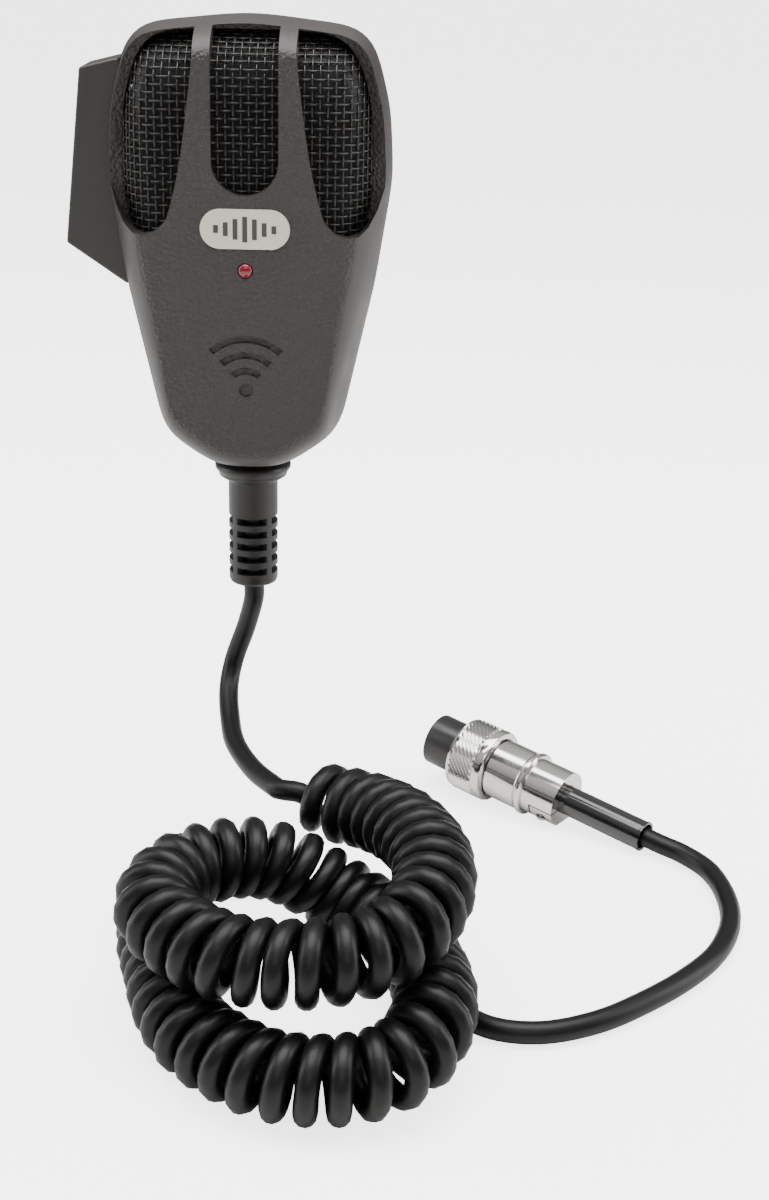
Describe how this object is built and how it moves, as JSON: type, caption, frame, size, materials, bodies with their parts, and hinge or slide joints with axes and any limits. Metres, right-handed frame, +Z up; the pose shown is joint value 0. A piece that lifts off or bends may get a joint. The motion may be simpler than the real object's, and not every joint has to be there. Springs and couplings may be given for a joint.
{
  "type": "hand microphone",
  "caption": "Palm-held push-to-talk microphone with a mesh grille, side talk lever, curly cord and round screw-on plug.",
  "frame": {"origin": "centre of the hang-up button's head on the back of the case, mid thickness", "axes": "+Z up to the crown of the case, the speaking face looks along -Y, the talk lever is on -X"},
  "size_m": [0.1502, 0.1545, 0.1887],
  "materials": {
    "case": "fine leather grain",
    "screw_steel": "zinc plated",
    "screen_wire": "black painted woven wire",
    "cloth": "woven acoustic cloth",
    "badge": "satin pale foil",
    "led": "clear crimson lens",
    "tinned": "tinned",
    "lever": "smooth moulded",
    "switch": "moulded",
    "plunger": "moulded",
    "board": "solder mask",
    "component": "moulded",
    "can": "drawn can",
    "magnet": "sintered",
    "copper": "bare copper",
    "diaphragm": "thin film",
    "foam": "closed-cell foam",
    "wire_red": "wire insulation",
    "wire_black": "wire insulation",
    "wire_white": "wire insulation",
    "button": "moulded",
    "boot": "moulded satin",
    "clamp": "moulded",
    "jacket": "satin jacket",
    "insert": "moulded",
    "contact": "gilt",
    "washer": "nylon",
    "plug_metal": "bright nickel plate",
    "sleeve": "glossy tube"
  },
  "bodies": {
    "housing": {"front_housing": "case", "rear_housing": "case", "housing_screws": "screw_steel", "grille_screen": "screen_wire", "grille_cloth": "cloth", "badge_plate": "badge", "led_lens": "led", "led_leads": "tinned", "lever_pin": "screw_steel", "lever_spring": "screw_steel", "switch_body": "switch", "switch_terminals": "tinned", "circuit_board": "board", "board_components": "component", "board_screws": "screw_steel", "cartridge_cup": "can", "cartridge_cover": "can", "cartridge_magnet": "magnet", "voice_coil": "copper", "diaphragm": "diaphragm", "cartridge_gasket": "foam", "cartridge_cushion": "foam", "cartridge_terminals": "tinned", "cartridge_leads": "wire_red", "hang_button": "button", "hang_button_screw": "screw_steel", "hang_button_nut": "screw_steel", "strain_relief": "boot", "cord_clamp": "clamp", "cord_clamp_screws": "screw_steel", "cord_entry": "jacket", "wire_audio": "wire_red", "wire_key": "wire_black", "wire_receive": "wire_white", "wire_ground": "copper", "cord_lead": "jacket", "cord_coil": "jacket", "cord_tail": "jacket", "plug_insert": "insert", "plug_contacts": "contact", "plug_shell": "plug_metal", "plug_clamp_body": "plug_metal", "plug_clamp_bar": "plug_metal", "plug_clamp_screws": "screw_steel", "plug_sleeve": "sleeve", "plug_cord_end": "jacket", "plug_wires": "wire_black"},
    "lever": {"talk_lever": "lever"},
    "plunger": {"switch_plunger": "plunger"},
    "ring_carrier": {"plug_washer": "washer"},
    "coupling_ring": {"plug_ring": "plug_metal"}
  },
  "joints": [
    {"name": "lever_hinge", "type": "hinge", "parent": "housing", "child": "lever", "pos_m": [-0.023, -0.017, 0.029], "axis": [0, -1, 0], "range_deg": [0, 4], "stiffness_Nm_per_rad": 0.6, "springref_deg": -5.73, "deforming": ["lever_spring"]},
    {"name": "plunger_slide", "type": "slide", "parent": "housing", "child": "plunger", "axis": [1, 0, 0], "range_m": [0, 0.0024]},
    {"name": "ring_slide", "type": "slide", "parent": "housing", "child": "ring_carrier", "axis": [-0.7917, 0.6009, 0.1097], "range_m": [0, 0.0065]},
    {"name": "ring_spin", "type": "hinge", "parent": "ring_carrier", "child": "coupling_ring", "pos_m": [0.045, 0.008, -0.1334], "axis": [0.7917, -0.6009, -0.1097], "continuous": true}
  ],
  "couplings": [
    {"joint": "plunger_slide", "follows": "lever_hinge", "m_per_rad": 0.033}
  ]
}
